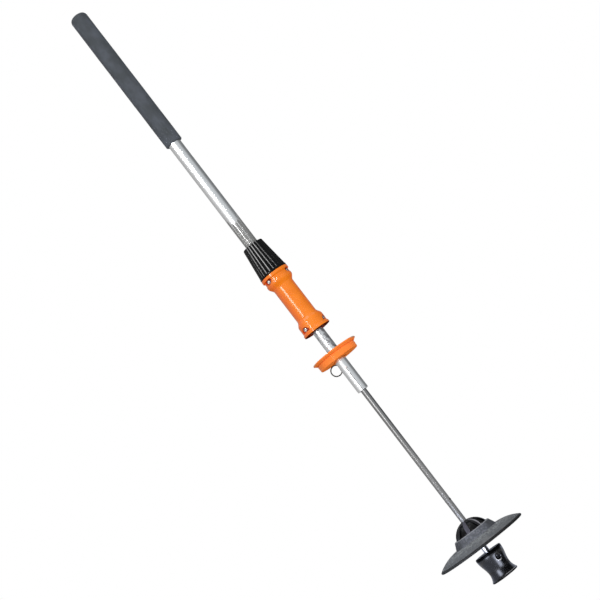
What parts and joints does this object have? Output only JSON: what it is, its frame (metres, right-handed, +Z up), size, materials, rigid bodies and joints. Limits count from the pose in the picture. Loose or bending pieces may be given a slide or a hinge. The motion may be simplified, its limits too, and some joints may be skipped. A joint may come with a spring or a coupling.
{
  "type": "telescopic probe staff",
  "caption": "Long two-handed staff: foam grip on a clamped aluminium tube, orange waisted hub, sliding orange flange, pinned steel rod, rubber ground shield and waisted black tip",
  "frame": {"origin": "middle of the tip's flat end face, where the staff meets the ground", "axes": "+Z up along the staff from tip to grip; +Y away from the picture's viewer, towards the release pin's eye; +X to the viewer's right"},
  "size_m": [0.1538, 0.1538, 1.127],
  "materials": {
    "dark_foam": "matte closed-cell foam",
    "bright_aluminium": "polished, worn where it slides",
    "orange_plastic": "glossy moulded",
    "gloss_black": "glossy moulded",
    "grey_rubber": "matte, fine grain",
    "black_rubber": "matte",
    "rod_steel": "drawn steel",
    "dark_steel": "oiled spring steel",
    "bright_steel": "zinc plated",
    "dark_plastic": "moulded",
    "pale_plastic": "machined acetal"
  },
  "bodies": {
    "staff": {"hub_body": "orange_plastic", "tube_socket": "dark_plastic", "hub_lower_screws": "bright_steel", "hub_upper_screws": "bright_steel", "threaded_spigot": "dark_plastic", "collet": "pale_plastic", "lower_tube": "bright_aluminium", "flange_snap_ring": "dark_steel", "rod_bush_lower": "dark_plastic", "rod_bush_upper": "dark_plastic", "tool_rod": "rod_steel", "rod_stop_pin": "dark_steel", "tip_knob": "gloss_black", "tip_set_screw": "dark_steel"},
    "handle": {"handle_tube": "bright_aluminium", "handle_stop_bush": "pale_plastic", "stop_bush_pin": "dark_steel", "tube_end_plug": "dark_plastic", "foam_grip": "dark_foam"},
    "lock_nut": {"lock_nut": "gloss_black"},
    "flange": {"stop_flange": "orange_plastic"},
    "release_pin": {"release_pin": "bright_steel"},
    "pull_ring": {"pull_ring": "dark_steel"},
    "shield": {"shield_skirt": "grey_rubber", "shield_cage": "gloss_black", "shield_grommet": "black_rubber"}
  },
  "joints": [
    {"name": "handle_slide", "type": "slide", "parent": "staff", "child": "handle", "axis": [0, 0, 1], "range_m": [-0.05, 0]},
    {"name": "lock_nut_turn", "type": "hinge", "parent": "staff", "child": "lock_nut", "pos_m": [0, 0, 0.591], "axis": [0, 0, 1], "range_deg": [0, 150]},
    {"name": "flange_slide", "type": "slide", "parent": "staff", "child": "flange", "axis": [0, 0, 1], "range_m": [0, 0.0415]},
    {"name": "release_pin_pull", "type": "slide", "parent": "staff", "child": "release_pin", "axis": [0, 1, 0], "range_m": [0, 0.024]},
    {"name": "pull_ring_swing", "type": "hinge", "parent": "release_pin", "child": "pull_ring", "pos_m": [-0.00733, 0.0152, 0.40514], "axis": [0.4449, 0, 0.8956], "range_deg": [-160, 45]},
    {"name": "shield_slide", "type": "slide", "parent": "staff", "child": "shield", "axis": [0, 0, 1], "range_m": [-0.029, 0.0365]}
  ]
}
